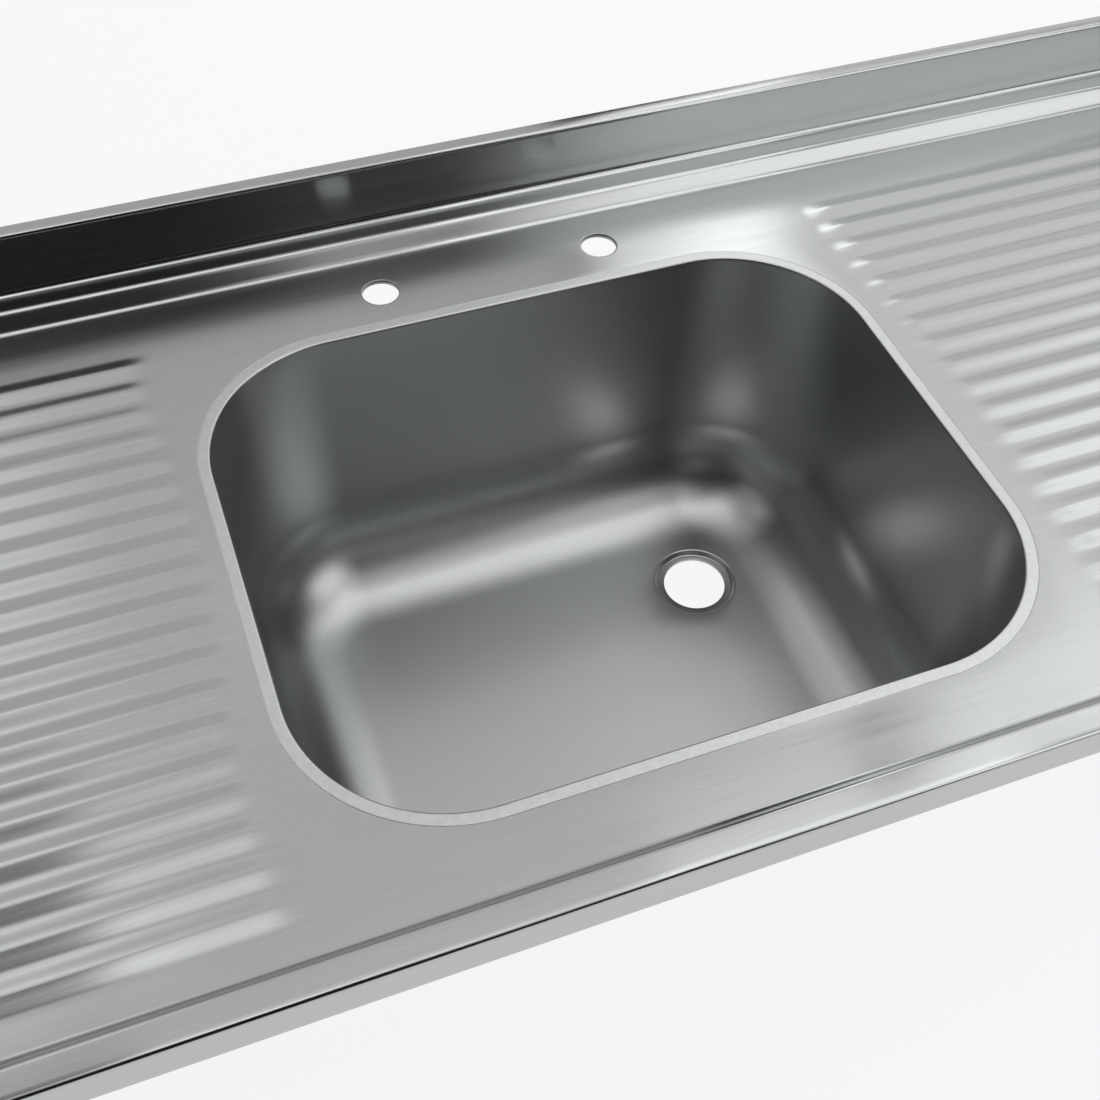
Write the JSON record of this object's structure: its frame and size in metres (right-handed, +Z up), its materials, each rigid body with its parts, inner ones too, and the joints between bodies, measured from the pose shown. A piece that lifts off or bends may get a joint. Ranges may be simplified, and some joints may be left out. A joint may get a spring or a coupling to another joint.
{
  "type": "kitchen sink top with double drainboard",
  "caption": "Stainless steel kitchen sink top: a deep bowl between two fluted drainboards, with a tap ledge, open tap holes and a raised back edge.",
  "frame": {"origin": "under the middle of the worktop, on the surface that the bowl's pad stands on", "axes": "+X along the length to the right, +Y to the wall behind the sink, +Z up"},
  "size_m": [1.5, 0.6, 0.314],
  "materials": {
    "brushed_steel_top": "brushed along the length",
    "satin_steel_bowl": "satin, drawn",
    "weld_steel": "as welded",
    "galvanised_steel": "galvanised",
    "bitumen_pad": "matt bitumen sheet",
    "zinc_fastener": "zinc plated",
    "brass_tag": "plain"
  },
  "bodies": {
    "root": {"worktop": "brushed_steel_top", "bowl": "satin_steel_bowl", "bowl_weld_seam": "weld_steel", "upstand_end_cap_left": "brushed_steel_top", "upstand_end_cap_right": "brushed_steel_top", "tap_ledge_plate": "galvanised_steel", "drainer_channel_1": "galvanised_steel", "drainer_channel_2": "galvanised_steel", "drainer_channel_3": "galvanised_steel", "drainer_channel_4": "galvanised_steel", "front_rail": "galvanised_steel", "rear_rail": "galvanised_steel", "drainer_pad_left": "bitumen_pad", "drainer_pad_right": "bitumen_pad", "bowl_floor_pad": "bitumen_pad", "corner_gusset_front_left": "galvanised_steel", "corner_nut_front_left": "zinc_fastener", "corner_gusset_front_right": "galvanised_steel", "corner_nut_front_right": "zinc_fastener", "corner_gusset_rear_left": "galvanised_steel", "corner_nut_rear_left": "zinc_fastener", "corner_gusset_rear_right": "galvanised_steel", "corner_nut_rear_right": "zinc_fastener", "earth_screw": "zinc_fastener", "earth_tag": "brass_tag", "earth_washer": "zinc_fastener", "earth_nut": "zinc_fastener"}
  },
  "joints": []
}
